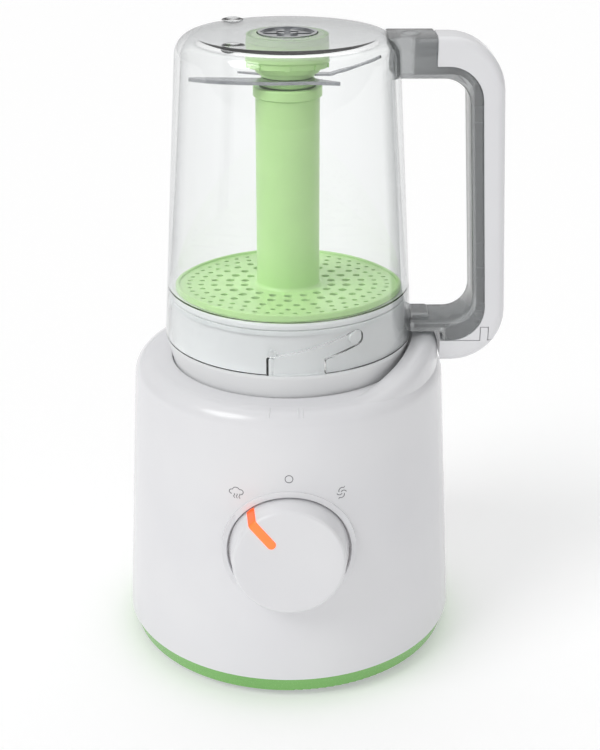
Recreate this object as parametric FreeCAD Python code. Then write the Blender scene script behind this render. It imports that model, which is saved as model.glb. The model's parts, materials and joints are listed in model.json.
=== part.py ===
"""Baby food maker: a steam boiler and blender base with an upturned clear jar, millimetres, +Z up.

The origin is on the axis of the round base, at the surface it stands on. The knob faces -Y and the jar's
handle +X.
"""
import FreeCAD, Part
import math
import os

from FreeCAD import Vector as V

# --- driving dimensions -------------------------------------------------------------------------
FOOT_H = 3.4            # rubber feet, from the ground to the underside of the base plate
TRIM_TOP = 11.8         # top of the coloured band
BASE_R = 82.2           # outer radius of the housing at the top of the band
WALL_SLOPE = 0.0603     # inward lean of the housing's wall, per millimetre of height
WALL = 2.8              # housing wall
SHOULDER_Z = 147.0      # flat top of the housing round the seat
SEAT_R = 56.3           # radius of the recess that the lid's foot drops into
SHOULDER_DROP = 10.0    # height over which the wall rounds into the shoulder
SEAT_Z = 134.0          # floor of that recess
FLOOR_T = 2.4
POST_R = 73.5           # circle of the four screw posts
POST_TOP_Z = 40.0
FOOT_CIRCLE_R = 60.0
INLET_Z = 24.0          # height of the mains lead's gland in the back wall

KNOB_Z = 79.0           # height of the knob's centre on the front wall
KNOB_PROUD = 10.7       # face of the knob above the wall
KNOB_SINK = 5.6         # depth of the flat pocket that the knob sits in
KNOB_R = 27.8
KNOB_FACE_R = 25.6
KNOB_SHAFT_R = 3.0
POINTER_ANGLE = 40.0    # pointer, to the left of straight up

LID_RIM_Z = 158.2       # top of the lid's flange, where the jar's mouth rests
LID_RIM_R = 58.4
LID_TOP_Z = 182.4
LID_R = 54.8            # lid wall inside the jar
LID_BORE_R = 50.6
LID_FOOT_R = 55.9       # foot that drops into the recess
LID_FOOT_Z = 137.0
DISH_Z = 159.8          # underside of the lid's floor
NOZZLE_R = 12.4         # steam tube through that floor
NOZZLE_TOP_Z = 180.0
SEAL_Z = (176.95, 179.05)
PIN_Z = 173.0           # bayonet pins on the lid
PIN_R = 3.0
PIN_ANGLES = (-58.0, 62.0, 182.0)
UNSCREW_DEG = 28.0      # jar's turn on the lid
UNSCREW_RISE = 7.0      # jar's rise over that turn
SLOT_ENTRY = (-37.5, -15.0)     # sides of the slot's wide mouth, measured round from the pin
SLOT_DEPTH = 1.35

JAR_MOUTH_Z = 158.5
JAR_MOUTH_R = 59.1
JAR_TOP_Z = 299.6
JAR_SLOPE = 0.0646
JAR_WALL = 2.9
JAR_STEP_Z = 183.2      # above this the bore narrows
JAR_MOUTH_BORE = 56.0

COLUMN_R = 14.6         # hollow column of the strainer
COLUMN_TOP_Z = 276.5
STRAINER_R = 52.0
STRAINER_Z = 182.5
STRAINER_T = 2.2
HOLE_ROWS = ((20.5, 18, 1.9), (27.5, 22, 2.0), (34.5, 28, 1.7), (40.5, 38, 1.3), (46.0, 48, 1.2))

BLADE_Z = 279.2
BLADE_T = 1.5
BLADE_R = 46.6
WING_LIFT = 24.0        # bend of the upper wing, degrees
HOLDER_Z = 283.0        # underside of the blade holder
HOLDER_TOP_Z = 296.3    # its boss, just under the jar's floor
COUPLING_R = 13.3

HANDLE_HALF = 11.5      # half the handle's width along Y
GRIP_LEAN = 0.0583      # grip runs parallel to the jar's wall
HANDLE_TOP_Z = 299.2
HANDLE_LOW_Z = 145.0
HANDLE_WALL = 1.7
CAP_SEAM_Z = 156.0
COVER_SEAM_X = 66.0
ARM_LOW_Z = 160.5
WINDOW_TOP_Z = 281.1    # opening between the jar and the grip
WINDOW_LOW_Z = 166.0
HORN_CLEAR_R = 73.2     # the handle's low end stays outside this radius, clear of the horn

SHAFT_R = 4.0           # motor shaft
RUNNING = 0.05          # radial clearance of a running fit
TANK_R = 57.5
TANK_LOW_Z = 106.0
TANK_TOP_Z = 128.5
FILLER = V(0, 34, 0)    # tank filler, behind the drive coupling
STEAM = V(-28, -18, 0)  # steam outlet, in front and to the left
STEAM_BORE_R = 2.6
BOLT_X = 29.0           # motor bolts, either side of the shaft
PLUNGER_X = 66.2        # safety plunger, under the handle's lower arm
PLUNGER_TOP_Z = 157.2
PLUNGER_SLOT_Z = 157.0  # floor of the notch in the horn's crest that the plunger stands in
SPRING_Z = (126.1, 136.3)


# --- shape helpers ------------------------------------------------------------------------------
def rounded_wire(corners, place):
    """Closed wire through (u, v) or (u, v, radius) corners; place turns (u, v) into a point."""
    count = len(corners)
    starts, ends, middles = [], [], []
    for i, corner in enumerate(corners):
        here = V(corner[0], corner[1], 0)
        radius = corner[2] if len(corner) > 2 else 0
        before = V(*corners[i - 1][:2], 0) - here
        after = V(*corners[(i + 1) % count][:2], 0) - here
        before.normalize()
        after.normalize()
        half = before.getAngle(after) / 2
        if radius <= 0 or half > 1.5607:
            starts.append(here)
            ends.append(here)
            middles.append(None)
            continue
        reach = radius / math.tan(half)
        bisector = before + after
        bisector.normalize()
        centre = here + bisector * (radius / math.sin(half))
        starts.append(here + before * reach)
        ends.append(here + after * reach)
        middles.append(centre - bisector * radius)
    edges = []
    for i in range(count):
        if middles[i] is not None:
            arc = [place(p.x, p.y) for p in (starts[i], middles[i], ends[i])]
            edges.append(Part.Arc(*arc).toShape())
        a, b = ends[i], starts[(i + 1) % count]
        if a.distanceToPoint(b) > 1e-6:
            edges.append(Part.makeLine(place(a.x, a.y), place(b.x, b.y)))
    return Part.Wire(edges)


def in_xz(u, v):
    return V(u, 0, v)


def revolved(corners, sweep=360.0, start=0.0):
    """Solid of revolution about Z from (radius, height[, corner radius]) points."""
    face = Part.Face(rounded_wire(corners, in_xz))
    solid = face.revolve(V(0, 0, 0), V(0, 0, 1), sweep)
    solid.rotate(V(0, 0, 0), V(0, 0, 1), start)
    return solid


def slab(corners, half_width):
    """An (x, z) outline as a plate, half_width to each side of Y = 0."""
    face = Part.Face(rounded_wire(corners, in_xz))
    plate = face.extrude(V(0, 2 * half_width, 0))
    plate.translate(V(0, -half_width, 0))
    return plate


def plan(corners, z, thick):
    """An (x, y) outline as a flat plate from height z."""
    face = Part.Face(rounded_wire(corners, lambda u, v: V(u, v, z)))
    return face.extrude(V(0, 0, thick))


def disc(radius, low, high, x=0.0, y=0.0):
    return Part.makeCylinder(radius, high - low, V(x, y, low))


def ring(outer, inner, low, high, x=0.0, y=0.0):
    return disc(outer, low, high, x, y).cut(disc(inner, low - 1, high + 1, x, y))


def block(x0, x1, y0, y1, z0, z1):
    return Part.makeBox(x1 - x0, y1 - y0, z1 - z0, V(x0, y0, z0))


def turned(shape, degrees):
    copy = shape.copy()
    copy.rotate(V(0, 0, 0), V(0, 0, 1), degrees)
    return copy


def around(shape, count, first=0.0):
    """Copies of a shape, evenly spaced about Z."""
    return [turned(shape, first + 360.0 * i / count) for i in range(count)]


def fused(shapes):
    return shapes[0].multiFuse(shapes[1:]).removeSplitter()


def coil(radius, wire, pitch, low, high):
    """Helical spring about Z."""
    helix = Part.makeHelix(pitch, high - low - 2 * wire, radius)
    profile = Part.Wire([Part.makeCircle(wire, V(radius, 0, 0), V(0, 1, 0))])
    spring = Part.Wire(helix.Edges).makePipeShell([profile], True, True)
    spring.translate(V(0, 0, low + wire))
    return spring


def wall_r(z):
    """Outer radius of the housing's leaning wall."""
    return BASE_R - WALL_SLOPE * (z - TRIM_TOP)


def jar_r(z):
    """Outer radius of the jar."""
    return JAR_MOUTH_R - JAR_SLOPE * (z - JAR_MOUTH_Z)


def grip_x(z):
    """Window side of the grip."""
    return 82.9 + GRIP_LEAN * (247.5 - z)


def on_front(shape):
    """Carries a shape built about local +Z out to the knob's place, +Z pointing out of the wall."""
    tilt = math.degrees(math.atan(WALL_SLOPE))
    placed = shape.copy()
    placed.rotate(V(0, 0, 0), V(1, 0, 0), 90 - tilt)
    placed.translate(V(0, -wall_r(KNOB_Z), KNOB_Z))
    return placed


# --- base: casing -------------------------------------------------------------------------------
def horn():
    """Raised part of the shoulder that stands in front of and below the handle's lower arm."""
    crest = ((-66, 145.8), (-58, 147.6), (-50, 149.3), (-42, 151.7), (-34, 154.0), (-26, 156.2),
             (-18, 157.8), (-9, 158.7), (0, 158.9), (9, 158.6), (18, 156.8), (26, 153.6),
             (34, 149.6), (42, 146.4))
    wires = []
    for degrees, top in crest:
        inner = (59.8, top - 1.6)
        points = [inner, (62.2, top - 0.6), (65.5, top), (68.9, top - 0.9), (71.0, top - 3.6)]
        foot = [(72.1, min(top - 8.0, 146.0)), (73.5, 139.0)]
        curve = Part.BSplineCurve()
        curve.interpolate([V(r, 0, z) for r, z in points + foot])
        low_in, low_out = V(59.8, 0, 139.0), V(73.5, 0, 139.0)
        start = V(inner[0], 0, inner[1])
        edges = [curve.toShape(), Part.makeLine(low_out, low_in), Part.makeLine(low_in, start)]
        wires.append(turned(Part.Wire(edges), degrees))
    return Part.makeLoft(wires, True, False)


def base_housing():
    bend = SHOULDER_Z - SHOULDER_DROP
    outer_top = wall_r(bend)
    shell = revolved([
        (BASE_R, TRIM_TOP), (outer_top, bend), (outer_top - 0.9, SHOULDER_Z, 9.0),
        (SEAT_R, SHOULDER_Z, 0.8), (SEAT_R, SEAT_Z - FLOOR_T), (SEAT_R + 2.2, SEAT_Z - FLOOR_T),
        (SEAT_R + 2.2, SHOULDER_Z - WALL, 1.0), (outer_top - WALL - 0.9, SHOULDER_Z - WALL, 6.5),
        (outer_top - WALL, bend), (BASE_R - WALL, TRIM_TOP)])
    post = disc(4.5, TRIM_TOP, POST_TOP_Z, POST_R).fuse(block(POST_R, 79.6, -1, 1, TRIM_TOP, POST_TOP_Z))
    posts = around(post, 4, 45)
    pocket_back = on_front(disc(31.0, -KNOB_SINK - WALL, -3.2))
    body = fused([shell, horn(), pocket_back] + posts)
    cuts = [on_front(disc(KNOB_R + 0.9, -KNOB_SINK, 30)), on_front(disc(KNOB_SHAFT_R + RUNNING, -20, 5))]
    cuts += around(disc(1.5, 0, 24, POST_R), 4, 45)
    cuts.append(disc(2.2, 130, 165, PLUNGER_X))
    cuts.append(block(PLUNGER_X - 1.9, PLUNGER_X + 2.1, -5.5, 5.5, PLUNGER_SLOT_Z, 165))
    cuts.append(Part.makeCylinder(6.0, 30, V(0, 60, INLET_Z), V(0, 1, 0)))
    return body.cut(Part.makeCompound(cuts)).removeSplitter()


def seat_floor():
    """Floor of the recess, round the drive, with holes for the tank's neck and the steam outlet."""
    plate = ring(SEAT_R - 0.1, 14.0, SEAT_Z - FLOOR_T, SEAT_Z)
    neck = disc(11.8, SEAT_Z - 10, SEAT_Z + 5, FILLER.x, FILLER.y)
    outlet = disc(4.3, SEAT_Z - 10, SEAT_Z + 5, STEAM.x, STEAM.y)
    return plate.cut(Part.makeCompound([neck, outlet]))


def trim_ring():
    return revolved([(79.3, FOOT_H, 1.2), (82.0, TRIM_TOP), (77.2, TRIM_TOP), (77.2, FOOT_H)])


def base_plate():
    plate = disc(77.1, FOOT_H, FOOT_H + 2.4)
    bosses = around(disc(4.0, FOOT_H, TRIM_TOP, POST_R - 0.6), 4, 45)
    posts = around(disc(4.0, FOOT_H, 22, 50), 4)
    slots = around(block(12, 34, -1.6, 1.6, 0, 10), 12)
    screws = around(disc(1.8, 0, 14, POST_R), 4, 45)
    heads = around(disc(3.1, 0, FOOT_H + 1.2, POST_R), 4, 45)
    recesses = around(disc(5.9, 0, FOOT_H + 1.0, FOOT_CIRCLE_R), 4, 20)
    trimmed = disc(77.1, FOOT_H, 30)
    body = fused([plate] + bosses + posts).common(trimmed)
    return body.cut(Part.makeCompound(slots + screws + heads + recesses)).removeSplitter()


def rubber_feet():
    stud_z = FOOT_H + 1.0
    foot = revolved([(0, 0), (8.0, 0, 1.0), (8.6, FOOT_H), (5.8, FOOT_H), (5.8, stud_z), (0, stud_z)])
    foot.translate(V(FOOT_CIRCLE_R, 0, 0))
    return Part.makeCompound(around(foot, 4, 20))


def base_screws():
    screw = disc(3.0, FOOT_H + 0.1, FOOT_H + 1.2, POST_R).fuse(disc(1.45, FOOT_H + 1.2, 23.5, POST_R))
    screw = screw.cut(block(POST_R - 2, POST_R + 2, -0.4, 0.4, FOOT_H, FOOT_H + 0.7))
    return Part.makeCompound(around(screw, 4, 45))


def cord_inlet():
    """Gland in the back wall, with the bore that a mains lead would pass through."""
    y_wall = wall_r(INLET_Z)
    barrel = Part.makeCylinder(5.9, 14, V(0, y_wall - 10, INLET_Z), V(0, 1, 0))
    flange = Part.makeCylinder(8.6, 3.0, V(0, y_wall + 0.6, INLET_Z), V(0, 1, 0))
    nut = Part.makeCylinder(8.0, 3.0, V(0, y_wall - 7.4, INLET_Z), V(0, 1, 0))
    bore = Part.makeCylinder(3.6, 40, V(0, y_wall - 20, INLET_Z), V(0, 1, 0))
    return fused([barrel, flange, nut]).cut(bore)


# --- base: knob and switch ----------------------------------------------------------------------
def knob_outline(grow):
    return revolved([
        (0, -KNOB_SINK + 0.5), (KNOB_R + grow, -KNOB_SINK + 0.5),
        (KNOB_FACE_R + grow, KNOB_PROUD - 0.5 + grow, 2.0), (16.0, KNOB_PROUD - 0.05 + grow),
        (0, KNOB_PROUD + grow)])


def knob_hollow():
    return revolved([
        (5.2, -20), (KNOB_R - 2.0, -20), (KNOB_R - 2.0, -KNOB_SINK),
        (KNOB_FACE_R - 2.0, KNOB_PROUD - 3.2, 1.2), (5.2, KNOB_PROUD - 2.6)])


def pointer_window(width):
    bar = block(-width / 2, width / 2, 12.5, 40, -1.5, 30)
    bar = bar.fuse(Part.makeCylinder(width / 2, 31.5, V(0, 12.5, -1.5)))
    return turned(bar, POINTER_ANGLE)


def control_knob():
    body = knob_outline(0).cut(knob_hollow()).cut(pointer_window(4.2))
    return on_front(body.cut(disc(KNOB_SHAFT_R, -20, 5.0)))


def knob_pointer():
    return on_front(knob_outline(0.25).cut(knob_hollow()).common(pointer_window(4.0)))


def knob_shaft():
    return on_front(disc(KNOB_SHAFT_R, -22.0, 4.9).cut(block(-3, 3, 2.2, 3.2, -4, 6)))


def rotary_switch():
    case = block(-15, 15, -13, 13, -25.0, -KNOB_SINK - WALL - 0.1)
    tabs = [block(x, x + 2, -13 - 4, -13, -23, -22) for x in (-10, -3, 4)]
    return on_front(fused([case] + tabs).cut(disc(KNOB_SHAFT_R + RUNNING, -23, 0)))


def indicator_lamp():
    """Lamp ring on the front of the switch that lights the pointer."""
    return on_front(ring(14.0, 9.0, -KNOB_SINK + 0.02, -KNOB_SINK + 0.4))


def control_board():
    board = block(-67.0, -65.4, -24, 24, 30, 84)
    parts = [block(-65.4, -56, -18, -4, 36, 50), block(-65.4, -58, 4, 18, 36, 56)]
    parts += [Part.makeCylinder(4.0, 9, V(-65.4, y, 70), V(1, 0, 0)) for y in (-14, 0, 14)]
    return fused([board] + parts)


# --- base: motor --------------------------------------------------------------------------------
def motor_stator():
    body = ring(35.0, 21.6, 38, 70)
    flats = [block(-40, 40, 30.5, 40, 37, 71), block(-40, 40, -40, -30.5, 37, 71)]
    slots = [block(-9, 9, 24, 29, 37, 71), block(-9, 9, -29, -24, 37, 71)]
    bolts = [disc(2.1, 37, 71, x) for x in (-BOLT_X, BOLT_X)]
    return body.cut(Part.makeCompound(flats + slots + bolts))


def field_coils():
    coils = []
    for side in (-1, 1):
        bar = block(-8.6, 8.6, side * 26.5 - 2.2, side * 26.5 + 2.2, 32, 76)
        coils.append(bar)
    return Part.makeCompound(coils)


def lower_bracket():
    plate = disc(56.0, 24, 27)
    vents = around(block(12, 40, -5, 5, 20, 30), 4, 45)
    holes = [disc(2.1, 20, 30, x) for x in (-BOLT_X, BOLT_X)]
    stand = [ring(5.2, 2.1, 27, 37.9, x) for x in (-BOLT_X, BOLT_X)]
    body = plate.cut(Part.makeCompound(vents + holes + [disc(9.0, 20, 30)]))
    return fused([body] + stand)


def upper_bracket():
    plate = plan([(-35, -11, 4), (35, -11, 4), (35, 11, 4), (-35, 11, 4)], 87, 3)
    stand = [ring(5.2, 2.1, 70.1, 87, x) for x in (-BOLT_X, BOLT_X)]
    holes = [disc(2.1, 80, 92, x) for x in (-BOLT_X, BOLT_X)]
    return fused([plate] + stand).cut(Part.makeCompound(holes + [disc(9.0, 80, 95)]))


def motor_bolts():
    bolt = disc(1.9, 20.5, 90.2, BOLT_X).fuse(disc(3.6, 90.2, 93, BOLT_X))
    nut = disc(3.6, 20.8, 23.9, BOLT_X)
    return Part.makeCompound(around(bolt.fuse(nut), 2))


def bearing(low, high):
    return ring(9.0, SHAFT_R + RUNNING, low, high)


def lower_bearing():
    return bearing(23.5, 30)


def upper_bearing():
    return bearing(85.5, 91)


def motor_shaft():
    return disc(SHAFT_R, 12, 138).cut(block(-5, 5, 3.2, 5, 126, 139))


def rotor_core():
    body = ring(20.9, SHAFT_R, 39, 69)
    slots = around(block(13, 22, -1.1, 1.1, 38, 70), 12)
    return body.cut(Part.makeCompound(slots))


def rotor_windings():
    ends = [ring(18.5, 7.0, 31.5, 38.9), ring(18.5, 7.0, 69.1, 72.6)]
    return Part.makeCompound(ends)


def commutator():
    body = ring(11.0, SHAFT_R, 73, 84)
    cuts = around(block(9.6, 12, -0.25, 0.25, 74, 85), 16)
    return body.cut(Part.makeCompound(cuts))


def carbon_brushes():
    return Part.makeCompound([block(11.4, 20, -2.5, 2.5, 75, 81), block(-20, -11.4, -2.5, 2.5, 75, 81)])


def brush_holders():
    sleeve = block(15, 23.6, -4.2, 4.2, 73.3, 82.7).cut(block(14, 27, -2.6, 2.6, 74.9, 81.1))
    foot = block(20, 23.6, -4.2, 4.2, 82.7, 87.0)
    return Part.makeCompound(around(sleeve.fuse(foot), 2))


def cooling_fan():
    hub = ring(9.0, SHAFT_R, 12, 22)
    web = ring(24.5, 8.0, 20.4, 22)
    vanes = around(block(8.5, 24, -0.8, 0.8, 12, 21), 9)
    return fused([hub, web] + vanes)


def motor_mounts():
    grommet = ring(5.0, 2.0, 22, 24, 50)
    return Part.makeCompound(around(grommet, 4))


def drive_seal():
    return revolved([(SHAFT_R + 0.35, 131.7), (14.0, 131.6), (14.0, 134.0), (15.8, 134.0), (15.8, 134.7, 0.3),
                     (6.0, 134.7), (SHAFT_R + 0.35, 133.2)])


def drive_coupling():
    body = revolved([(SHAFT_R, 135.3), (11.4, 135.3, 0.8), (10.2, 141, 1.0), (SHAFT_R, 141)])
    cap = revolved([(0, 138.0), (SHAFT_R, 138.0), (SHAFT_R, 141), (7.4, 141), (6.6, 146.5, 1.2), (0, 146.5)])
    dogs = around(block(3, 10.0, -1.6, 1.6, 140.5, 145.5), 4)
    return fused([body, cap] + dogs)


# --- base: boiler -------------------------------------------------------------------------------
def water_tank():
    shell = revolved([(8.0, TANK_LOW_Z), (TANK_R, TANK_LOW_Z, 3.0), (TANK_R, TANK_TOP_Z, 3.0),
                      (8.0, TANK_TOP_Z)])
    hollow = revolved([(10.0, TANK_LOW_Z + 2), (TANK_R - 2, TANK_LOW_Z + 2, 1.5),
                       (TANK_R - 2, TANK_TOP_Z - 2, 1.5), (10.0, TANK_TOP_Z - 2)])
    neck = disc(11.5, TANK_TOP_Z - 1, SEAT_Z + 0.4, FILLER.x, FILLER.y)
    outlet = disc(4.2, TANK_TOP_Z - 1, TANK_TOP_Z + 1.5, STEAM.x, STEAM.y)
    body = fused([shell, neck, outlet]).cut(hollow)
    cuts = [disc(9.4, TANK_TOP_Z - 4, 140, FILLER.x, FILLER.y)]
    cuts.append(disc(STEAM_BORE_R, TANK_TOP_Z - 4, 140, STEAM.x, STEAM.y))
    return body.cut(Part.makeCompound(cuts)).removeSplitter()


def steam_tube():
    return ring(4.2, STEAM_BORE_R, TANK_TOP_Z + 1.5, SEAT_Z + 2.4, STEAM.x, STEAM.y)


def heater_plate():
    return ring(52.0, 12.0, TANK_LOW_Z - 3.5, TANK_LOW_Z)


def heater_element():
    loop = Part.makeTorus(41.0, 3.2, V(0, 0, TANK_LOW_Z - 6.75))
    gap = block(20, 60, -9, 9, 90, 110)
    legs = [disc(2.2, 91, 99.2, 40.0, y) for y in (-9, 9)]
    return fused([loop.cut(gap)] + legs)


def thermostat():
    can = disc(8.0, 95.5, TANK_LOW_Z - 3.55, 0, -26)
    tabs = [block(x - 0.4, x + 0.4, -28.5, -23.5, 91, 95.6) for x in (-5, 5)]
    return fused([can] + tabs)


def tank_cap():
    plate = disc(13.6, 136.0, 139.2, FILLER.x, FILLER.y)
    plug = disc(8.8, 129.5, 136.0, FILLER.x, FILLER.y)
    bar = plan([(-12, 31.6, 2), (12, 31.6, 2), (12, 36.4, 2), (-12, 36.4, 2)], 139.0, 6.8)
    notches = [disc(1.5, 135, 140, FILLER.x + 14.2 * math.cos(a), FILLER.y + 14.2 * math.sin(a))
               for a in [math.tau * i / 18 for i in range(18)]]
    return fused([plate, plug, bar]).cut(Part.makeCompound(notches))


def tank_cap_seal():
    return ring(12.2, 9.4, 134.75, 135.95, FILLER.x, FILLER.y)


# --- base: safety switch ------------------------------------------------------------------------
def safety_switch():
    case = block(60.0, 70.6, -5.5, 5.5, 114, 126)
    tabs = [block(63.0, 63.8, y, y + 2.4, 109, 114.1) for y in (-4.8, -1.2, 2.4)]
    return fused([case] + tabs)


def safety_plunger():
    pin = disc(1.9, 129.2, PLUNGER_TOP_Z, PLUNGER_X)
    collar = disc(3.4, SPRING_Z[1] + 0.1, SPRING_Z[1] + 1.7, PLUNGER_X)
    return fused([pin, collar])


def plunger_spring():
    spring = coil(2.75, 0.35, 1.9, *SPRING_Z)
    spring.translate(V(PLUNGER_X, 0, 0))
    return spring


# --- lid ----------------------------------------------------------------------------------------
def jar_lid():
    body = revolved([
        (LID_FOOT_R - 0.4, LID_FOOT_Z), (LID_FOOT_R, SHOULDER_Z - 0.4), (LID_RIM_R, LID_RIM_Z - 1.3, 1.2),
        (LID_RIM_R, LID_RIM_Z), (LID_R, LID_RIM_Z), (LID_R, LID_TOP_Z, 1.8), (LID_BORE_R, LID_TOP_Z, 0.8),
        (LID_BORE_R, DISH_Z), (LID_FOOT_R - 2.7, DISH_Z, 1.0), (LID_FOOT_R - 2.7, LID_FOOT_Z)])
    groove = ring(LID_R + 1, LID_R - 1.5, SEAL_Z[0] - 0.35, SEAL_Z[1] + 0.35)
    pins = []
    for degrees in PIN_ANGLES:
        pin = Part.makeCylinder(PIN_R, 4.0, V(52.8, 0, PIN_Z), V(1, 0, 0))
        pins.append(turned(pin, degrees))
    return fused([body.cut(groove)] + pins)


def drip_dish():
    """Floor of the lid, which catches what drips through the strainer."""
    outer, inner = LID_BORE_R - 0.1, NOZZLE_R + 0.1
    top_z = DISH_Z + 2.2
    return revolved([(inner, DISH_Z), (outer, DISH_Z), (outer, top_z, 0.8), (inner, top_z, 0.5)])


def steam_nozzle():
    """Tube through the lid's floor that leads steam into the strainer's column."""
    return revolved([(NOZZLE_R - 1.8, DISH_Z - 2.2), (NOZZLE_R, DISH_Z - 2.2), (NOZZLE_R, NOZZLE_TOP_Z, 0.8),
                     (NOZZLE_R - 1.8, NOZZLE_TOP_Z, 0.8)])


def foot_gasket():
    return ring(LID_FOOT_R - 0.7, LID_FOOT_R - 4.9, LID_FOOT_Z - 2.65, LID_FOOT_Z - 0.35)


def lid_seal():
    return ring(LID_R + 0.85, LID_R - 1.15, *SEAL_Z)


# --- strainer -----------------------------------------------------------------------------------
def strainer():
    body = revolved([
        (13.0, STRAINER_Z), (STRAINER_R, STRAINER_Z, 0.6), (STRAINER_R, STRAINER_Z + 3.2, 0.6),
        (STRAINER_R - 1.6, STRAINER_Z + 3.2, 0.6), (STRAINER_R - 1.6, STRAINER_Z + STRAINER_T, 0.3),
        (COLUMN_R, STRAINER_Z + STRAINER_T, 1.8), (COLUMN_R, COLUMN_TOP_Z - 5.0),
        (COLUMN_R + 1.1, COLUMN_TOP_Z - 4.2), (COLUMN_R + 1.1, COLUMN_TOP_Z, 0.7),
        (12.9, COLUMN_TOP_Z, 0.5), (12.9, STRAINER_Z)])
    holes = []
    for radius, count, size in HOLE_ROWS:
        holes += around(disc(size, 180, 190, radius), count, 180.0 / count)
    return body.cut(Part.makeCompound(holes))


# --- jar ----------------------------------------------------------------------------------------
def jar_outside():
    return revolved([(0, JAR_MOUTH_Z), (JAR_MOUTH_R, JAR_MOUTH_Z), (jar_r(JAR_TOP_Z), JAR_TOP_Z, 8.5),
                     (0, JAR_TOP_Z)])


def bayonet_slot(degrees):
    """Sloped slot in the mouth's bore for a pin at that azimuth, with a wide entry that is open downwards."""
    slope = UNSCREW_RISE / (math.sin(math.radians(UNSCREW_DEG)) * JAR_MOUTH_BORE)
    gap = PIN_R + 0.55
    shift = gap * math.hypot(1, slope)
    far, near = SLOT_ENTRY
    outline = [(far, JAR_MOUTH_Z - 2), (near, JAR_MOUTH_Z - 2), (near, PIN_Z + slope * near - shift, 1.0),
               (gap, PIN_Z + slope * gap - shift, gap * 0.9), (gap, PIN_Z + slope * gap + shift, gap * 0.9),
               (far, PIN_Z + slope * far + shift, 1.0)]
    wire = rounded_wire(outline, lambda u, v: V(40, u, v))
    prism = Part.Face(wire).extrude(V(30, 0, 0))
    return turned(prism, degrees)


def jar():
    top_r = jar_r(JAR_TOP_Z)
    step_r = jar_r(JAR_STEP_Z) - JAR_WALL
    hollow = revolved([
        (0, JAR_MOUTH_Z - 1), (JAR_MOUTH_BORE, JAR_MOUTH_Z - 1), (JAR_MOUTH_BORE, JAR_STEP_Z, 0.6),
        (step_r, JAR_STEP_Z), (top_r - JAR_WALL, JAR_TOP_Z - 3.1, 6.0), (0, JAR_TOP_Z - 3.1)])
    feet = []
    for x, y in ((-23.0, -29.5), (-25.5, 33.0)):
        cap = Part.makeSphere(8.6, V(x, y, JAR_TOP_Z - 7.4))
        feet.append(cap.common(disc(8, JAR_TOP_Z - 1, JAR_TOP_Z + 2, x, y)))
    body = fused([jar_outside()] + feet).cut(hollow).cut(disc(COUPLING_R + 0.5, 290, 310))
    band = ring(JAR_MOUTH_BORE + SLOT_DEPTH, 50, JAR_MOUTH_Z - 1, 180)
    slots = [bayonet_slot(d).common(band) for d in PIN_ANGLES]
    return body.cut(Part.makeCompound(slots))


# --- handle -------------------------------------------------------------------------------------
def handle_channel():
    """Inside of the hollow handle, where the interlock rod runs."""
    t = HANDLE_WALL
    low_z, high_z = WINDOW_LOW_Z - t, WINDOW_TOP_Z + t
    outline = [
        (COVER_SEAM_X + 2.5, HANDLE_TOP_Z - 2.1), (94.1, HANDLE_TOP_Z - 2.1, 23),
        (101.8, HANDLE_LOW_Z + 2.2, 23),
        (76.5, HANDLE_LOW_Z + 2.2), (76.5, low_z), (grip_x(low_z) + t, low_z, 10.5),
        (grip_x(high_z) + t, high_z, 10.5), (COVER_SEAM_X + 2.5, high_z)]
    return slab(outline, HANDLE_HALF - 1.7)


def handle_boundary():
    return [(93.7, CAP_SEAM_Z, 16), (86.4, 286.5, 16), (COVER_SEAM_X, 286.5)]


def handle_frame():
    outline = [(44, WINDOW_TOP_Z), (grip_x(WINDOW_TOP_Z), WINDOW_TOP_Z, 12),
               (grip_x(WINDOW_LOW_Z), WINDOW_LOW_Z, 12), (54, WINDOW_LOW_Z), (54, ARM_LOW_Z),
               (HORN_CLEAR_R, ARM_LOW_Z, 2), (HORN_CLEAR_R, CAP_SEAM_Z)]
    outline += handle_boundary() + [(COVER_SEAM_X, HANDLE_TOP_Z), (44, HANDLE_TOP_Z)]
    body = slab(outline, HANDLE_HALF)
    boss = slab([(56, 165), (67.5, 165), (67.5, 168.2, 2), (56, 168.2)], 6)
    foot = Part.makeSphere(8.6, V(54.8, 0, HANDLE_TOP_Z - 7.2)).common(disc(8, 298, 302, 54.8))
    body = fused([body, boss, foot]).cut(handle_channel())
    body = body.cut(disc(HORN_CLEAR_R, 140, ARM_LOW_Z)).cut(jar_outside()).cut(handle_screws())
    keep = [s for s in body.Solids if s.Volume > 500]
    return keep[0]


def cover_shell():
    outline = [(COVER_SEAM_X, HANDLE_TOP_Z), (96.0, HANDLE_TOP_Z, 25), (103.9, HANDLE_LOW_Z, 25),
               (70.0, HANDLE_LOW_Z), (70.0, CAP_SEAM_Z)] + handle_boundary()
    body = slab(outline, HANDLE_HALF)
    rims = []
    for edge in body.Edges:
        box = edge.BoundBox
        flat = box.YLength < 0.01 and abs(abs(box.YMin) - HANDLE_HALF) < 0.01
        mid = edge.valueAt((edge.FirstParameter + edge.LastParameter) / 2)
        outside = mid.z > 298 or mid.x > 97.5 or (mid.z < 150 and mid.x > 80) or (mid.x > 88 and mid.z > 287)
        if flat and outside:
            rims.append(edge)
    body = body.makeFillet(4.2, rims)
    return body.cut(handle_channel()).cut(disc(HORN_CLEAR_R, 140, 170)).cut(handle_screws())


def handle_cover():
    return cover_shell().common(block(60, 110, -20, 20, CAP_SEAM_Z, 310))


def handle_end_cap():
    return cover_shell().common(block(60, 110, -20, 20, 140, CAP_SEAM_Z))


def rod_axis_x(z):
    return grip_x(z) + 4.6


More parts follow.
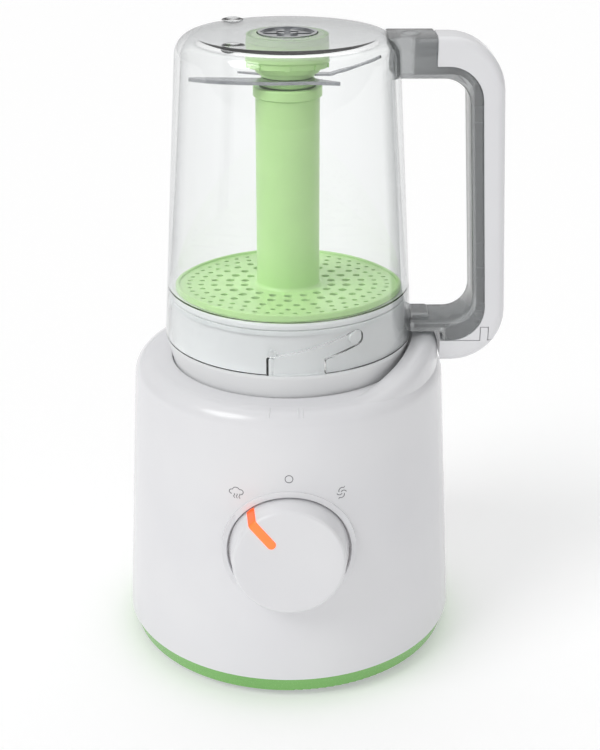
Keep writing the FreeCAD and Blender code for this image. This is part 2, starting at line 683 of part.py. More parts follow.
def interlock_rod():
    low, high = 173.0, 275.0
    outline = []
    for z, side in ((low, -1), (low, 1), (high, 1), (high, -1)):
        outline.append((rod_axis_x(z) + side * 1.7, z))
    rod = slab(outline, 4.0)
    collars = []
    for z in (266.0, 258.5, 201.0, 189.5, 184.0):
        collars.append(block(rod_axis_x(z) - 2.5, rod_axis_x(z) + 2.5, -6, 6, z, z + 1.6))
    return fused([rod] + collars)


def rod_spring():
    spring = coil(3.0, 0.45, 2.6, 157.4, 172.6)
    spring.translate(V(93.0, 0, 0))
    return spring


def handle_screws():
    """Two screws that hold the cover's wall to the clear arm, driven from inside the channel."""
    screws = []
    for y in (-5.5, 5.5):
        shank = Part.makeCylinder(1.4, 10.5, V(58, y, 291), V(1, 0, 0))
        head = Part.makeCylinder(2.6, 1.8, V(68.5, y, 291), V(1, 0, 0))
        screws.append(shank.fuse(head))
    return Part.makeCompound(screws)


# --- blade unit ---------------------------------------------------------------------------------
def blade_holder():
    body = revolved([
        (6.5, HOLDER_Z), (14.0, HOLDER_Z, 1.0), (15.0, HOLDER_Z + 3.0), (17.6, HOLDER_Z + 3.4, 0.8),
        (17.6, HOLDER_Z + 7.2, 0.8), (18.6, HOLDER_Z + 8.0, 0.5), (18.6, 293.9), (16.5, 293.9),
        (16.5, HOLDER_TOP_Z, 1.0), (6.5, HOLDER_TOP_Z)])
    ribs = around(block(15.0, 18.4, -1.0, 1.0, HOLDER_Z + 3.6, HOLDER_Z + 7.0), 8)
    return fused([body] + ribs)


def holder_gasket():
    return ring(18.4, 16.6, 294.0, 296.4)


def blade_bush():
    return ring(6.5, 3.0 + RUNNING, HOLDER_Z + 0.5, 295.6)


def blade_shaft():
    return disc(3.0, 276.6, 298.0)


def blade_nut():
    hexagon = [(4.6 * math.cos(math.radians(60 * i)), 4.6 * math.sin(math.radians(60 * i))) for i in range(6)]
    return plan(hexagon, 276.9, 2.2).cut(disc(3.0, 270, 285))


def wing(lift):
    """One swept wing, reaching to -X, with its cutting edge at -Y and a spur behind the root."""
    root = plan([(12.5, -13.0), (-6, -14.6, 20), (-20, -13.4), (-20, -5.0), (-9.5, -5.5), (6, -6.5)],
                BLADE_Z, BLADE_T)
    tip = plan([(-19.99, -13.4), (-34, -10.6, 40), (-BLADE_R - 1.6, -3.2, 1.2), (-38.5, -3.6, 8),
                (-19.99, -5.0)], BLADE_Z, BLADE_T)
    tip.rotate(V(-20, 0, BLADE_Z + BLADE_T / 2), V(0, 1, 0), lift)
    spur = plan([(4, -8), (10, -13.2), (25.0, -15.4, 0.6), (14, -8.0, 4), (8, -2)], BLADE_Z, BLADE_T)
    return [root, tip, spur]


def blade():
    lower = wing(0.0)
    upper = [turned(piece, 180) for piece in wing(WING_LIFT)]
    hub = plan([(-9.5, -7.5, 4), (9.5, -7.5, 4), (9.5, 7.5, 4), (-9.5, 7.5, 4)], BLADE_Z, BLADE_T)
    body = fused([hub] + lower + upper).cut(disc(3.0, 270, 290))
    return body.common(disc(BLADE_R, 270, 296))


def blade_coupling():
    body = disc(COUPLING_R, 296.6, 299.0).fuse(disc(5.0, 299.0, 299.9))
    cross = [block(-12, 12, -1.4, 1.4, 297.6, 301), block(-1.4, 1.4, -12, 12, 297.6, 301)]
    rim = ring(COUPLING_R, 11.6, 299.0, 299.9)
    return fused([body, rim]).cut(Part.makeCompound(cross)).cut(disc(3.0, 290, 298))


SUB_PARTS = [
    base_housing, seat_floor, trim_ring, base_plate, rubber_feet, base_screws, cord_inlet,
    rotary_switch, indicator_lamp, control_board, motor_stator, field_coils, lower_bracket,
    upper_bracket, motor_bolts, lower_bearing, upper_bearing, carbon_brushes, brush_holders,
    motor_mounts, drive_seal, water_tank, steam_tube, heater_plate, heater_element, thermostat,
    safety_switch, control_knob, knob_pointer, knob_shaft, motor_shaft, rotor_core, rotor_windings,
    commutator, cooling_fan, drive_coupling, tank_cap, tank_cap_seal, safety_plunger, plunger_spring,
    foot_gasket, jar_lid, drip_dish, steam_nozzle, strainer, lid_seal, jar, handle_frame, handle_cover,
    handle_end_cap, handle_screws, rod_spring, interlock_rod, blade_holder, holder_gasket, blade_bush,
    blade, blade_shaft, blade_nut, blade_coupling,
]

os.makedirs("parts", exist_ok=True)
for make in SUB_PARTS:
    shape = make()
    shape.exportStep(f"parts/{make.__name__}.step")
    volume = shape.Volume / 1000
    print(f"{make.__name__:18s} {len(shape.Solids)} solids, {volume:8.2f} cm3, valid {shape.isValid()}")
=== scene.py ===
import json
import math

import bmesh
import bpy
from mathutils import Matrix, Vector


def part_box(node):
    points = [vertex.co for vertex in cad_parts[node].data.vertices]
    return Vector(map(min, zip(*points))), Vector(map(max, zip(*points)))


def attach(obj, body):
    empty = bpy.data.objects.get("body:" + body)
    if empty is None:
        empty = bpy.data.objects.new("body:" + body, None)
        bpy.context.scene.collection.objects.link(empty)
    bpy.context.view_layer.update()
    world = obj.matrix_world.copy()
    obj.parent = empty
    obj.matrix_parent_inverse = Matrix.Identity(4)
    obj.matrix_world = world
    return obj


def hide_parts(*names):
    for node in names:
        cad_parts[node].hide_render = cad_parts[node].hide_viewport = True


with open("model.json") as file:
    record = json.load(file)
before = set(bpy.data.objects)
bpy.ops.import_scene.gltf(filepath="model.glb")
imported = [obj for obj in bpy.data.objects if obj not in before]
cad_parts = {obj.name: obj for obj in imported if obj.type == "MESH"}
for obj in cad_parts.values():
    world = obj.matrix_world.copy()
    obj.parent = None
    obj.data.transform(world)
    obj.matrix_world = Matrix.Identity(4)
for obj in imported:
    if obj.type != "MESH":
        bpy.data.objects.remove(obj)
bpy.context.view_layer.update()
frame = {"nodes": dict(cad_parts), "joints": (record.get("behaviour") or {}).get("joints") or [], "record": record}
bpy.ops.object.select_all(action="DESELECT")
nodes = frame["nodes"]
joints = {joint["name"]: joint for joint in frame["joints"]}
mm = 0.001
print("frame loaded with", len(nodes), "CAD nodes")


# hand tools: editing, selecting, cutting

def openPiece(piece):    # into edit mode with nothing selected
    bpy.ops.object.select_all(action="DESELECT")
    piece.select_set(True)
    bpy.context.view_layer.objects.active = piece
    bpy.ops.object.mode_set(mode="EDIT")
    bpy.ops.mesh.select_all(action="DESELECT")


def pick(kind, wanted):    # selects the vertices, edges or faces that a test accepts
    bpy.ops.mesh.select_mode(type=kind)
    bpy.ops.mesh.select_all(action="DESELECT")
    mesh = bmesh.from_edit_mesh(bpy.context.object.data)
    for part in {"VERT": mesh.verts, "EDGE": mesh.edges, "FACE": mesh.faces}[kind]:
        if wanted(part):
            part.select_set(True)
    bmesh.update_edit_mesh(bpy.context.object.data)


def closePiece():
    bpy.ops.mesh.select_all(action="SELECT")
    bpy.ops.mesh.remove_doubles(threshold=0.004 * mm)
    bpy.ops.mesh.normals_make_consistent(inside=False)
    bpy.ops.object.mode_set(mode="OBJECT")


def turnRings(name, rings, steps=128):
    # a turned piece from its section, given as (radius, height) or (radius, height, rounding) in mm
    pole = 0.001
    radius, height = max(rings[0][0], pole), rings[0][1]
    bpy.ops.mesh.primitive_circle_add(vertices=steps, radius=radius * mm, location=(0, 0, height * mm))
    piece = bpy.context.object
    piece.name = name
    bpy.ops.object.transform_apply(location=True, rotation=False, scale=False)
    bpy.ops.object.mode_set(mode="EDIT")
    bpy.ops.mesh.select_all(action="SELECT")
    for ring in rings[1:]:
        rise = (ring[1] - height) * mm
        widen = max(ring[0], pole) / radius
        bpy.ops.mesh.extrude_edges_move(TRANSFORM_OT_translate={"value": (0, 0, rise)})
        bpy.ops.transform.resize(value=(widen, widen, 1), center_override=(0, 0, 0))
        radius, height = max(ring[0], pole), ring[1]
    if rings[0][0] > 0:
        bpy.ops.mesh.select_mode(type="EDGE")
        bpy.ops.mesh.select_all(action="DESELECT")
        bpy.ops.mesh.select_non_manifold(use_wire=False, use_boundary=True, use_multi_face=False,
                                         use_non_contiguous=False, use_verts=False)
        bpy.ops.mesh.bridge_edge_loops()
    bpy.ops.mesh.select_all(action="SELECT")
    bpy.ops.mesh.remove_doubles(threshold=0.004 * mm)
    bpy.ops.mesh.normals_make_consistent(inside=False)
    for ring in rings:
        if len(ring) < 3:
            continue
        close = 0.02 * mm
        pick("EDGE", lambda edge: all(abs(end.co.z - ring[1] * mm) < close
                                      and abs(end.co.xy.length - ring[0] * mm) < close for end in edge.verts))
        bpy.ops.mesh.bevel(offset=ring[2] * mm, segments=6, affect="EDGES")
    closePiece()
    return piece


def cutPlate(name, corners, low, high, along="y"):
    # a plate from its outline in mm, (u, v) or (u, v, rounding): x-z drawn and thick along y, or x-y along z
    def place(corner):
        return Vector((corner[0], low, corner[1]) if along == "y" else (corner[0], corner[1], low)) * mm

    bpy.ops.mesh.primitive_plane_add(size=mm)
    piece = bpy.context.object
    piece.name = name
    bpy.ops.object.mode_set(mode="EDIT")
    bpy.ops.mesh.select_mode(type="VERT")
    bpy.ops.mesh.select_all(action="SELECT")
    bpy.ops.mesh.merge(type="CENTER")
    bpy.ops.transform.translate(value=place(corners[0]))
    for before, corner in zip(corners, corners[1:]):
        step = place(corner) - place(before)
        bpy.ops.mesh.extrude_vertices_move(TRANSFORM_OT_translate={"value": step})
    ends = (place(corners[0]), place(corners[-1]))
    pick("VERT", lambda vertex: min((vertex.co - end).length for end in ends) < 0.001 * mm)
    bpy.ops.mesh.edge_face_add()
    bpy.ops.mesh.select_all(action="SELECT")
    bpy.ops.mesh.edge_face_add()
    for i, corner in enumerate(corners):
        if len(corner) < 3:
            continue
        here = place(corner)
        before = place(corners[i - 1]) - here
        after = place(corners[(i + 1) % len(corners)]) - here
        reach = corner[2] * mm / math.tan(before.angle(after) / 2)
        pick("VERT", lambda vertex: (vertex.co - here).length < 0.001 * mm)
        bpy.ops.mesh.bevel(offset=reach, segments=10, affect="VERTICES")
    bpy.ops.mesh.select_all(action="SELECT")
    thick = (high - low) * mm
    up = (0, thick, 0) if along == "y" else (0, 0, thick)
    bpy.ops.mesh.extrude_region_move(TRANSFORM_OT_translate={"value": up})
    closePiece()
    return piece


def useModifier(piece, kind, **settings):
    modifier = piece.modifiers.new(kind.lower(), kind)
    for key, value in settings.items():
        setattr(modifier, key, value)
    bpy.ops.object.select_all(action="DESELECT")
    piece.select_set(True)
    bpy.context.view_layer.objects.active = piece
    bpy.ops.object.modifier_apply(modifier=modifier.name)


def combine(piece, tool, how="DIFFERENCE"):
    useModifier(piece, "BOOLEAN", object=tool, operation=how, solver="EXACT")
    bpy.data.objects.remove(tool)


def softenEdges(piece, width, steepest=40, segments=3):
    useModifier(piece, "BEVEL", width=width * mm, segments=segments, limit_method="ANGLE",
                angle_limit=math.radians(steepest), use_clamp_overlap=True)


def applyPlace(piece):
    bpy.ops.object.select_all(action="DESELECT")
    piece.select_set(True)
    bpy.context.view_layer.objects.active = piece
    bpy.ops.object.transform_apply(location=True, rotation=True, scale=True)


def turnPiece(piece, degrees):    # about the upright axis through the origin
    piece.rotation_euler = (0, 0, math.radians(degrees))
    applyPlace(piece)
    return piece


def copyPiece(piece, name):
    twin = piece.copy()
    twin.data = piece.data.copy()
    twin.name = name
    bpy.context.scene.collection.objects.link(twin)
    return twin


def settle(piece, material, body, slot, *replaced, crease=32):
    piece.data.materials.clear()
    piece.data.materials.append(material)
    bpy.ops.object.select_all(action="DESELECT")
    piece.select_set(True)
    bpy.context.view_layer.objects.active = piece
    bpy.ops.object.shade_smooth_by_angle(angle=math.radians(crease))
    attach(piece, body)
    if replaced:
        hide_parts(*replaced)


def drawTube(name, strokes, thick, roundness):    # fine capped tubes along rows of points, as one mesh
    sheet = bpy.data.curves.new(name, "CURVE")
    sheet.dimensions = "3D"
    sheet.bevel_depth = thick * mm
    sheet.bevel_resolution = roundness
    sheet.use_fill_caps = True
    for stroke in strokes:
        line = sheet.splines.new("POLY")
        line.points.add(len(stroke) - 1)
        for spot, point in zip(line.points, stroke):
            spot.co = (*point, 1)
    tube = bpy.data.objects.new(name, sheet)
    bpy.context.scene.collection.objects.link(tube)
    bpy.ops.object.select_all(action="DESELECT")
    tube.select_set(True)
    bpy.context.view_layer.objects.active = tube
    bpy.ops.object.convert(target="MESH")
    openPiece(bpy.context.object)
    closePiece()
    return bpy.context.object


# materials

def srgb(code):
    channels = [int(code[i:i + 2], 16) / 255 for i in (1, 3, 5)]
    return tuple(c / 12.92 if c <= 0.04045 else ((c + 0.055) / 1.055) ** 2.4 for c in channels) + (1.0,)


def addNode(tree, kind, settings=None, links=None):    # one node, its settings and its incoming links
    node = tree.nodes.new(kind)
    for key, value in (settings or {}).items():
        if isinstance(key, str) and hasattr(node, key):
            setattr(node, key, value)
        else:
            node.inputs[key].default_value = value
    for key, source in (links or {}).items():
        tree.links.new(source, node.inputs[key])
    return node


def startMaterial(name, **sockets):
    material = bpy.data.materials.new(name)
    material.use_nodes = True
    tree = material.node_tree
    shader = tree.nodes["Principled BSDF"]
    for key, value in sockets.items():
        shader.inputs[key.replace("_", " ")].default_value = value
    place = addNode(tree, "ShaderNodeTexCoord").outputs["Object"]
    return material, tree, shader, place


def fadeColour(tree, factor, stops):
    ramp = addNode(tree, "ShaderNodeValToRGB", links={"Fac": factor})
    ramp.color_ramp.elements[0].position, ramp.color_ramp.elements[0].color = stops[0][0], srgb(stops[0][1])
    ramp.color_ramp.elements[1].position, ramp.color_ramp.elements[1].color = stops[-1][0], srgb(stops[-1][1])
    for position, code in stops[1:-1]:
        ramp.color_ramp.elements.new(position).color = srgb(code)
    return ramp.outputs["Color"]


def mouldedPlastic(name, look):
    # injection-moulded: a faint cloud of colour from the melt's flow, and the tool's fine spark-eroded grain
    material, tree, shader, place = startMaterial(name, IOR=look["ior"])
    flow = addNode(tree, "ShaderNodeTexNoise", {"Scale": 1 / (look["flowWidth"] * mm), "Detail": 2.0},
                   {"Vector": place})
    tree.links.new(fadeColour(tree, flow.outputs["Fac"], [(0.3, look["shade"]), (0.7, look["colour"])]),
                   shader.inputs["Base Color"])
    grain = addNode(tree, "ShaderNodeTexNoise", {"Scale": 1 / (look["grain"] * mm), "Detail": 3.0},
                    {"Vector": place})
    gloss = addNode(tree, "ShaderNodeMapRange", {"To Min": look["roughness"] - 0.03,
                                                 "To Max": look["roughness"] + 0.04}, {"Value": grain.outputs["Fac"]})
    tree.links.new(gloss.outputs["Result"], shader.inputs["Roughness"])
    bump = addNode(tree, "ShaderNodeBump", {"Strength": look["bump"], "Distance": 0.02 * mm},
                   {"Height": grain.outputs["Fac"]})
    tree.links.new(bump.outputs["Normal"], shader.inputs["Normal"])
    if look.get("scatter"):    # light that enters and leaves again a little way off
        shader.inputs["Subsurface Weight"].default_value = look["scatter"]
        shader.inputs["Subsurface Radius"].default_value = (1.0, 1.0, 1.0)
        shader.inputs["Subsurface Scale"].default_value = look["scatterDepth"] * mm
    return material


mouldings = {
    "glossMouldedWhiteAbs": dict(colour="#EAEAEC", shade="#E5E5E8", roughness=0.2, ior=1.53, flowWidth=60,
                                 grain=0.5, bump=0.06),
    "satinMouldedWhitePolypropylene": dict(colour="#EBECEC", shade="#E5E6E7", roughness=0.32, ior=1.49,
                                           flowWidth=40, grain=0.4, bump=0.1, scatter=0.08, scatterDepth=2.0),
    "glossMouldedGreenAbs": dict(colour="#82C068", shade="#7BB862", roughness=0.26, ior=1.53, flowWidth=50,
                                 grain=0.5, bump=0.06),
    "mouldedGreenPolypropylene": dict(colour="#BDE39C", shade="#B4DC93", roughness=0.34, ior=1.49, flowWidth=25,
                                      grain=0.4, bump=0.1, scatter=0.15, scatterDepth=2.5),
    "mouldedGreenSilicone": dict(colour="#BDE0A2", shade="#B2D897", roughness=0.5, ior=1.42, flowWidth=15,
                                 grain=0.3, bump=0.15, scatter=0.2, scatterDepth=2.0),
    "mouldedClearWhiteSilicone": dict(colour="#E9EBEB", shade="#E1E4E4", roughness=0.45, ior=1.42, flowWidth=15,
                                      grain=0.3, bump=0.15, scatter=0.2, scatterDepth=2.0),
    "mattMouldedGreyNylon": dict(colour="#B9BBBD", shade="#AFB1B3", roughness=0.5, ior=1.53, flowWidth=20,
                                 grain=0.35, bump=0.2),
    "glassFilledBlackNylon": dict(colour="#242426", shade="#1B1B1D", roughness=0.55, ior=1.53, flowWidth=12,
                                  grain=0.3, bump=0.35),
    "mouldedBlackRubber": dict(colour="#1F1F20", shade="#171718", roughness=0.75, ior=1.52, flowWidth=10,
                               grain=0.4, bump=0.4),
    "naturalPolypropylene": dict(colour="#E4E8E6", shade="#DADFDD", roughness=0.4, ior=1.49, flowWidth=30,
                                 grain=0.4, bump=0.1, scatter=0.2, scatterDepth=3.0),
    "pressedCarbon": dict(colour="#2B2B2C", shade="#1E1E1F", roughness=0.6, ior=1.5, flowWidth=3, grain=0.25,
                          bump=0.4),
}
finishes = {name: mouldedPlastic(name, look) for name, look in mouldings.items()}


def workedMetal(name, look):
    # drawn, rolled or ground metal: fine marks of the tool along one way, uneven in gloss
    material, tree, shader, place = startMaterial(name, Metallic=1.0)
    stretch = addNode(tree, "ShaderNodeMapping", {"Scale": tuple(1 / (width * mm) for width in look["marks"])},
                      {"Vector": place})
    marks = addNode(tree, "ShaderNodeTexNoise", {"Scale": 1.0, "Detail": 4.0}, {"Vector": stretch.outputs["Vector"]})
    tree.links.new(fadeColour(tree, marks.outputs["Fac"], [(0.25, look["shade"]), (0.75, look["colour"])]),
                   shader.inputs["Base Color"])
    gloss = addNode(tree, "ShaderNodeMapRange", {"To Min": look["roughness"] * 0.75,
                                                 "To Max": look["roughness"] * 1.3}, {"Value": marks.outputs["Fac"]})
    tree.links.new(gloss.outputs["Result"], shader.inputs["Roughness"])
    bump = addNode(tree, "ShaderNodeBump", {"Strength": look["bump"], "Distance": 0.02 * mm},
                   {"Height": marks.outputs["Fac"]})
    tree.links.new(bump.outputs["Normal"], shader.inputs["Normal"])
    return material


metals = {
    "groundStainlessSteel": dict(colour="#D6D8DA", shade="#BCBEC1", roughness=0.22, marks=(6, 1.2, 6), bump=0.03),
    # the blade's steel is the stainless steel painted darker: painted shade for the darker surroundings it reflects
    "honedBladeSteelPaintedShade": dict(colour="#A8AAAD", shade="#8D8F93", roughness=0.22, marks=(1.2, 8, 6), bump=0.03),
    "polishedBearingSteel": dict(colour="#D2D4D7", shade="#BFC1C5", roughness=0.12, marks=(2, 2, 0.2), bump=0.1),
    "sinteredBronze": dict(colour="#C79A5B", shade="#8F6A38", roughness=0.4, marks=(0.3, 0.3, 0.3), bump=0.5),
    "stackedSiliconSteel": dict(colour="#8A8C90", shade="#5A5B60", roughness=0.38, marks=(40, 40, 0.5), bump=0.8),
    "woundEnamelledCopper": dict(colour="#C06A36", shade="#6E3417", roughness=0.3, marks=(8, 8, 0.45), bump=0.9),
    "dieCastZinc": dict(colour="#A9ABAE", shade="#94969A", roughness=0.42, marks=(1.2, 1.2, 1.2), bump=0.5),
    "dieCastAluminium": dict(colour="#C4C6C8", shade="#AEB0B3", roughness=0.38, marks=(1.5, 1.5, 1.5), bump=0.4),
    "oxidisedHeaterSheath": dict(colour="#7C7771", shade="#5B5650", roughness=0.45, marks=(3, 3, 3), bump=0.3),
}
finishes.update({name: workedMetal(name, look) for name, look in metals.items()})


def clearPlastic(name, look):
    # clear moulding: glass-like, its walls painted grey where they are seen edge on, as painted shade; shadows let
    # the light through.
    # body is the share of the light that smoke-grey pigment scatters back
    material, tree, shader, place = startMaterial(name, Roughness=look["roughness"], IOR=look["ior"],
                                                  Transmission_Weight=1.0 - look["body"])
    edge = addNode(tree, "ShaderNodeLayerWeight", {"Blend": look["edgeBlend"]})
    # painted edge shade: the base colour darkens towards grazing view; on the smoky grade the first stop is also its
    # own grey
    tree.links.new(fadeColour(tree, edge.outputs["Facing"], look["tintAndPaintedEdgeShade"]), shader.inputs["Base Color"])
    waves = addNode(tree, "ShaderNodeTexNoise", {"Scale": 1 / (look["waveWidth"] * mm), "Detail": 1.0},
                    {"Vector": place})
    bump = addNode(tree, "ShaderNodeBump", {"Strength": look["waveStrength"], "Distance": 0.05 * mm},
                   {"Height": waves.outputs["Fac"]})
    tree.links.new(bump.outputs["Normal"], shader.inputs["Normal"])
    shade = addNode(tree, "ShaderNodeBsdfTransparent", {"Color": srgb(look["shadow"])})
    isShadow = addNode(tree, "ShaderNodeLightPath").outputs["Is Shadow Ray"]
    blend = addNode(tree, "ShaderNodeMixShader", links={0: isShadow, 1: shader.outputs["BSDF"],
                                                        2: shade.outputs["BSDF"]})
    tree.links.new(blend.outputs["Shader"], tree.nodes["Material Output"].inputs["Surface"])
    return material


# the stops run from the face-on colour to painted edge shade where a wall is seen edge on
clears = {
    "polishedClearCopolyester": dict(ior=1.5, roughness=0.015, edgeBlend=0.35, waveWidth=30, waveStrength=0.05,
                                     shadow="#F3F5F5", body=0.0, tintAndPaintedEdgeShade=[(0.0, "#FDFEFE"), (0.48, "#F2F3F3"),
                                                                        (0.68, "#C2C4C6"), (0.9, "#55575A")]),
    "smokyClearCopolyester": dict(ior=1.5, roughness=0.17, edgeBlend=0.4, waveWidth=14, waveStrength=0.12,
                                  shadow="#B9BBBC", body=0.25, tintAndPaintedEdgeShade=[(0.0, "#BDBFC0"), (0.55, "#ABADAE"),
                                                                      (0.9, "#6B6D6F")]),
}
finishes.update({name: clearPlastic(name, look) for name, look in clears.items()})

guideLook = {"colour": "#FF6A33", "paintedEdgeShade": "#E8431A", "glow": 1.15}


def litLightGuide():
    # translucent orange acrylic, lit from behind; painted shade makes it brightest along its middle and a deeper
    # orange, in colour and glow, where it is seen edge on
    material, tree, shader, place = startMaterial("litOrangeAcrylic", Roughness=0.18, IOR=1.49,
                                                  Emission_Strength=guideLook["glow"])
    edge = addNode(tree, "ShaderNodeLayerWeight", {"Blend": 0.4})
    # painted shade: colour and glow turn a deeper orange where the guide is seen edge on
    colour = fadeColour(tree, edge.outputs["Facing"], [(0.0, guideLook["colour"]), (0.8, guideLook["paintedEdgeShade"])])
    tree.links.new(colour, shader.inputs["Base Color"])
    tree.links.new(colour, shader.inputs["Emission Color"])
    return material


def wovenGlassBoard():
    # circuit board: glass cloth under green resist, 0.6 mm between threads
    material, tree, shader, place = startMaterial("greenCircuitBoard", Roughness=0.3, IOR=1.55)
    weave = addNode(tree, "ShaderNodeTexChecker", {"Scale": 1 / (0.6 * mm), "Color1": srgb("#1F6B3A"),
                                                   "Color2": srgb("#1A6034")}, {"Vector": place})
    tree.links.new(weave.outputs["Color"], shader.inputs["Base Color"])
    return material


def printedInk():
    # pad-printed grey ink, thin and even, with a slightly dry edge
    material, tree, shader, place = startMaterial("printedGreyInk", IOR=1.5, Roughness=0.45)
    grain = addNode(tree, "ShaderNodeTexNoise", {"Scale": 1 / (0.3 * mm), "Detail": 2.0}, {"Vector": place})
    tree.links.new(fadeColour(tree, grain.outputs["Fac"], [(0.3, "#6B6D70"), (0.7, "#5C5E61")]),
                   shader.inputs["Base Color"])
    return material


finishes["litOrangeAcrylic"] = litLightGuide()
finishes["greenCircuitBoard"] = wovenGlassBoard()
finishes["printedGreyInk"] = printedInk()

slotFinish = {
    "white_abs": "glossMouldedWhiteAbs", "white_pp": "satinMouldedWhitePolypropylene",
    "green_abs": "glossMouldedGreenAbs", "green_pp": "mouldedGreenPolypropylene",
    "green_silicone": "mouldedGreenSilicone", "clear_jar": "polishedClearCopolyester",
    "smoky_clear": "smokyClearCopolyester", "orange_guide": "litOrangeAcrylic", "lamp": "litOrangeAcrylic",
    "stainless": "groundStainlessSteel", "bearing_steel": "polishedBearingSteel", "bronze": "sinteredBronze",
    "silicone": "mouldedClearWhiteSilicone", "black_rubber": "mouldedBlackRubber",
    "grey_nylon": "mattMouldedGreyNylon", "black_nylon": "glassFilledBlackNylon", "board": "greenCircuitBoard",
    "laminated_steel": "stackedSiliconSteel", "copper": "woundEnamelledCopper", "zinc_bracket": "dieCastZinc",
    "carbon": "pressedCarbon", "clear_pp": "naturalPolypropylene", "aluminium": "dieCastAluminium",
    "element": "oxidisedHeaterSheath",
}
slotOf = {part["node"]: part["material_slot"] for part in frame["record"]["subparts"]}
for name, piece in nodes.items():
    piece.data.materials.clear()
    # the blade gets the darker copy of its steel, as painted shade
    piece.data.materials.append(finishes["honedBladeSteelPaintedShade" if name == "blade" else slotFinish[slotOf[name]]])
print("materials made:", len(finishes))


# the front wall leans back a little; the knob's axis stands square on it

knobAxis = Vector(joints["knob_turn"]["axis"])
knobCentre = Vector(joints["knob_turn"]["pos_m"])
lean = -knobAxis.z / knobAxis.y
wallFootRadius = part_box("base_housing")[1].x
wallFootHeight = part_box("base_housing")[0].z


def wallRadius(height):    # metres in, metres out
    return wallFootRadius - lean * (height - wallFootHeight)


def placeOnFront(piece):
    piece.rotation_euler = (math.radians(90) - math.atan(lean), 0, 0)
    piece.location = knobCentre
    applyPlace(piece)
    return piece


knobLook = {"rimRadius": 27.8, "faceRadius": 25.6, "sunk": 5.1, "proud": 10.7, "crown": 0.5, "edge": 1.5,
            "wall": 2.0, "roof": 2.6, "pointerWidth": 4.2, "pointerFrom": 12.5, "pointerTurn": 40, "guideProud": 0.3}


def knobSection(grow):
    k = knobLook
    rim, face, wall = k["rimRadius"], k["faceRadius"], k["wall"]
    return [(0, k["proud"] + grow), (face * 0.5, k["proud"] - k["crown"] * 0.2 + grow),
            (face * 0.8, k["proud"] - k["crown"] * 0.6 + grow),
            (face + grow, k["proud"] - k["crown"] + grow, k["edge"]), (rim + grow, -k["sunk"], 0.5),
            (rim - wall, -k["sunk"]), (face - wall, k["proud"] - k["roof"] - 0.6, 1.0), (0, k["proud"] - k["roof"])]


def pointerBar(name, width):
    k = knobLook
    half = width / 2
    reach = k["rimRadius"] + 3
    near = k["pointerFrom"] - half
    bar = cutPlate(name, [(-half, near, half * 0.98), (half, near, half * 0.98), (half, reach), (-half, reach)],
                   -1.5, k["proud"] + 4, along="z")
    return turnPiece(bar, k["pointerTurn"])


def makeKnob():
    cap = turnRings("knobCap", knobSection(0), steps=192)
    combine(cap, pointerBar("pointerSlot", knobLook["pointerWidth"]))
    guide = turnRings("pointerGuide", knobSection(knobLook["guideProud"]), steps=192)
    combine(guide, pointerBar("pointerCore", knobLook["pointerWidth"] - 0.2), "INTERSECT")
    softenEdges(guide, 0.45, 50)
    placeOnFront(cap)
    placeOnFront(guide)
    settle(cap, finishes["glossMouldedWhiteAbs"], "knob", "white_abs", "control_knob")
    settle(guide, finishes["litOrangeAcrylic"], "knob", "orange_guide", "knob_pointer")


makeKnob()
print("knob and its light guide done")

dialRingLook = {"inner": 28.3, "outer": 30.9, "proud": 0.75, "rounding": 0.7}


def makeDialRing():    # raised lip round the knob's pocket, following the round wall
    d = dialRingLook
    ring = turnRings("dialRing", [(d["inner"], -9), (d["outer"], -9), (d["outer"], 8), (d["inner"], 8)], steps=160)
    placeOnFront(ring)
    low, high = knobCentre.z / mm - 45, knobCentre.z / mm + 45
    wall = turnRings("wallSkin", [(0, low), (wallRadius(low * mm) / mm + d["proud"], low),
                                  (wallRadius(high * mm) / mm + d["proud"], high), (0, high)], steps=512)
    combine(ring, wall, "INTERSECT")
    softenEdges(ring, d["rounding"], 50, segments=4)
    settle(ring, finishes["glossMouldedWhiteAbs"], "base", "white_abs")


makeDialRing()

signLook = {"distance": 37.0, "turn": 40.0, "line": 0.19, "lift": 0.03, "sunk": 0.6}


def arc(cx, cy, radius, start, end, points=14):
    return [(cx + radius * math.cos(math.radians(start + (end - start) * i / points)),
             cy + radius * math.sin(math.radians(start + (end - start) * i / points))) for i in range(points + 1)]


def offSign():
    return [arc(0, 0, 1.75, 0, 360, 36)]


def steamSign():    # a small cloud with three wisps below it
    cloud = arc(1.9, 0.7, 1.25, -90, 75) + arc(-0.1, 1.2, 1.65, 25, 165) + arc(-2.1, 0.5, 1.1, 95, 270)
    wisps = [[(x + 0.25 * math.sin(step * 1.1), -0.3 - step * 0.32) for step in range(8)] for x in (-1.0, 0.2, 1.4)]
    return [cloud] + wisps


def blendSign():    # two curved vanes chasing each other
    vane = arc(0.2, 1.0, 1.5, 200, 60) + [(1.3, 3.0)]
    other = [(-x, -y) for x, y in vane]
    tail = arc(0.9, -0.3, 1.3, 150, 20)
    return [vane, other, tail, [(-x, -y) for x, y in tail]]


def drawSign(name, strokes, degrees):    # laid on the round wall, the given angle away from the top
    s = signLook
    turn = math.radians(degrees)
    offset = Vector((-math.sin(turn), math.cos(turn))) * s["distance"]
    onWall = []
    for stroke in strokes:
        onWall.append([])
        for across, up in stroke:
            x = (offset.x + across) * mm
            z = knobCentre.z + (offset.y + up) * mm * math.cos(math.atan(lean))
            reach = wallRadius(z) + (s["lift"] - s["sunk"] * s["line"]) * mm
            onWall[-1].append((x, -math.sqrt(reach ** 2 - x ** 2), z))
    settle(drawTube(name, onWall, s["line"], 1), finishes["printedGreyInk"], "base", "black_nylon")


drawSign("offSign", offSign(), 0)
drawSign("steamSign", steamSign(), signLook["turn"])
drawSign("blendSign", blendSign(), -signLook["turn"])
print("dial ring and signs done")

